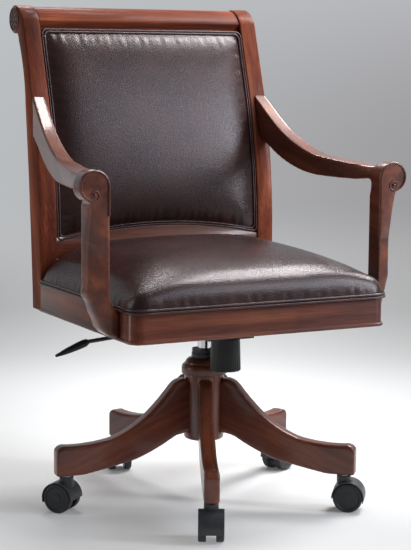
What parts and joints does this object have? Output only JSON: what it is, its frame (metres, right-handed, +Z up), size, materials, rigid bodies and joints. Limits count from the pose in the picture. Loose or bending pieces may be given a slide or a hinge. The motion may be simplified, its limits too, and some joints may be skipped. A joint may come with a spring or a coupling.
{
  "type": "office chair",
  "caption": "Wooden swivel office chair with leather seat and back, curved open arms, a rolled top rail, a lever and a tension knob, on a base of curved legs with castors",
  "frame": {"origin": "on the floor, under the axis of the column", "axes": "+Z up, -Y the front of the chair, +X the right of someone who faces the chair"},
  "size_m": [0.706, 0.6837, 0.998],
  "materials": {
    "polished_wood": "satin lacquer over a reddish brown stain",
    "frame_wood": "unfinished",
    "leather": "dark brown pebbled leather with a soft sheen",
    "black_plastic": "satin",
    "castor_plastic": "satin",
    "black_metal": "black paint",
    "steel": "bright",
    "chrome": "polished"
  },
  "bodies": {
    "base": {"hub_column": "polished_wood", "hub_cap": "polished_wood", "leg_1": "polished_wood", "leg_2": "polished_wood", "leg_3": "polished_wood", "leg_4": "polished_wood", "leg_5": "polished_wood", "leg_bolts": "steel", "caster_sockets": "steel", "outer_tube": "black_metal", "column_collar": "black_plastic"},
    "spindle": {"piston_rod": "steel", "thrust_bearing": "steel"},
    "lift": {"gas_cylinder": "chrome", "tilt_housing": "black_metal", "pivot_pin": "steel", "tension_spring": "steel"},
    "release": {"release_pin": "steel"},
    "knob": {"tension_knob": "black_plastic"},
    "lever": {"lever_rod": "black_metal", "lever_paddle": "black_plastic"},
    "seat": {"seat_plate": "black_metal", "seat_bolts": "steel", "front_rail": "polished_wood", "side_rail_left": "polished_wood", "side_rail_right": "polished_wood", "back_rail": "polished_wood", "cross_rails": "frame_wood", "seat_board": "frame_wood", "seat_cushion": "leather", "post_left": "polished_wood", "post_right": "polished_wood", "crest_rail": "polished_wood", "lower_back_rail": "polished_wood", "back_cushion": "leather", "back_panel": "leather", "arm_left": "polished_wood", "arm_right": "polished_wood", "arm_support_left": "polished_wood", "arm_support_right": "polished_wood"},
    "caster_1": {"caster_1_hood": "castor_plastic", "caster_1_pins": "steel"},
    "caster_1_left": {"caster_1_wheel_left": "castor_plastic"},
    "caster_1_right": {"caster_1_wheel_right": "castor_plastic"},
    "caster_2": {"caster_2_hood": "castor_plastic", "caster_2_pins": "steel"},
    "caster_2_left": {"caster_2_wheel_left": "castor_plastic"},
    "caster_2_right": {"caster_2_wheel_right": "castor_plastic"},
    "caster_3": {"caster_3_hood": "castor_plastic", "caster_3_pins": "steel"},
    "caster_3_left": {"caster_3_wheel_left": "castor_plastic"},
    "caster_3_right": {"caster_3_wheel_right": "castor_plastic"},
    "caster_4": {"caster_4_hood": "castor_plastic", "caster_4_pins": "steel"},
    "caster_4_left": {"caster_4_wheel_left": "castor_plastic"},
    "caster_4_right": {"caster_4_wheel_right": "castor_plastic"},
    "caster_5": {"caster_5_hood": "castor_plastic", "caster_5_pins": "steel"},
    "caster_5_left": {"caster_5_wheel_left": "castor_plastic"},
    "caster_5_right": {"caster_5_wheel_right": "castor_plastic"}
  },
  "joints": [
    {"name": "swivel", "type": "hinge", "parent": "base", "child": "spindle", "pos_m": [0, 0, 0.134], "axis": [0, 0, 1], "continuous": true},
    {"name": "lift", "type": "slide", "parent": "spindle", "child": "lift", "axis": [0, 0, 1], "range_m": [-0.02, 0.08]},
    {"name": "tilt", "type": "hinge", "parent": "lift", "child": "seat", "pos_m": [0, -0.035, 0.357], "axis": [-1, 0, 0], "range_deg": [0, 12], "stiffness_Nm_per_rad": 180, "springref_deg": -20.05},
    {"name": "lever", "type": "hinge", "parent": "lift", "child": "lever", "pos_m": [-0.04, 0, 0.3611], "axis": [0, 1, 0], "range_deg": [0, 4], "stiffness_Nm_per_rad": 3, "springref_deg": -6.88},
    {"name": "release", "type": "slide", "parent": "lift", "child": "release", "axis": [0, 0, -1], "range_m": [0, 0.0031]},
    {"name": "tension_knob", "type": "hinge", "parent": "lift", "child": "knob", "pos_m": [0, -0.09, 0.315], "axis": [0, 0, 1], "range_deg": [0, 1080]},
    {"name": "caster_1_swivel", "type": "hinge", "parent": "base", "child": "caster_1", "pos_m": [-0.12026, -0.26389, 0.08], "axis": [0, 0, 1], "continuous": true},
    {"name": "caster_1_left_spin", "type": "hinge", "parent": "caster_1", "child": "caster_1_left", "pos_m": [-0.12488, -0.27276, 0.0295], "axis": [-0.887, 0.4617, 0], "continuous": true},
    {"name": "caster_1_right_spin", "type": "hinge", "parent": "caster_1", "child": "caster_1_right", "pos_m": [-0.12488, -0.27276, 0.0295], "axis": [-0.887, 0.4617, 0], "continuous": true},
    {"name": "caster_2_swivel", "type": "hinge", "parent": "base", "child": "caster_2", "pos_m": [0.21381, -0.19592, 0.08], "axis": [0, 0, 1], "continuous": true},
    {"name": "caster_2_left_spin", "type": "hinge", "parent": "caster_2", "child": "caster_2_left", "pos_m": [0.22174, -0.20201, 0.0295], "axis": [-0.6088, -0.7934, 0], "continuous": true},
    {"name": "caster_2_right_spin", "type": "hinge", "parent": "caster_2", "child": "caster_2_right", "pos_m": [0.22174, -0.20201, 0.0295], "axis": [-0.6088, -0.7934, 0], "continuous": true},
    {"name": "caster_3_swivel", "type": "hinge", "parent": "base", "child": "caster_3", "pos_m": [0.2524, 0.1428, 0.08], "axis": [0, 0, 1], "continuous": true},
    {"name": "caster_3_left_spin", "type": "hinge", "parent": "caster_3", "child": "caster_3_left", "pos_m": [0.2615, 0.14695, 0.0295], "axis": [0.4147, -0.91, 0], "continuous": true},
    {"name": "caster_3_right_spin", "type": "hinge", "parent": "caster_3", "child": "caster_3_right", "pos_m": [0.2615, 0.14695, 0.0295], "axis": [0.4147, -0.91, 0], "continuous": true},
    {"name": "caster_4_swivel", "type": "hinge", "parent": "base", "child": "caster_4", "pos_m": [-0.05782, 0.28418, 0.08], "axis": [0, 0, 1], "continuous": true},
    {"name": "caster_4_left_spin", "type": "hinge", "parent": "caster_4", "child": "caster_4_left", "pos_m": [-0.05464, 0.29366, 0.0295], "axis": [0.9483, -0.3173, 0], "continuous": true},
    {"name": "caster_4_right_spin", "type": "hinge", "parent": "caster_4", "child": "caster_4_right", "pos_m": [-0.05464, 0.29366, 0.0295], "axis": [0.9483, -0.3173, 0], "continuous": true},
    {"name": "caster_5_swivel", "type": "hinge", "parent": "base", "child": "caster_5", "pos_m": [-0.28814, 0.03283, 0.08], "axis": [0, 0, 1], "continuous": true},
    {"name": "caster_5_left_spin", "type": "hinge", "parent": "caster_5", "child": "caster_5_left", "pos_m": [-0.2945, 0.04055, 0.0295], "axis": [0.7716, 0.6361, 0], "continuous": true},
    {"name": "caster_5_right_spin", "type": "hinge", "parent": "caster_5", "child": "caster_5_right", "pos_m": [-0.2945, 0.04055, 0.0295], "axis": [0.7716, 0.6361, 0], "continuous": true}
  ],
  "couplings": [
    {"joint": "release", "follows": "lever", "m_per_rad": 0.044}
  ]
}
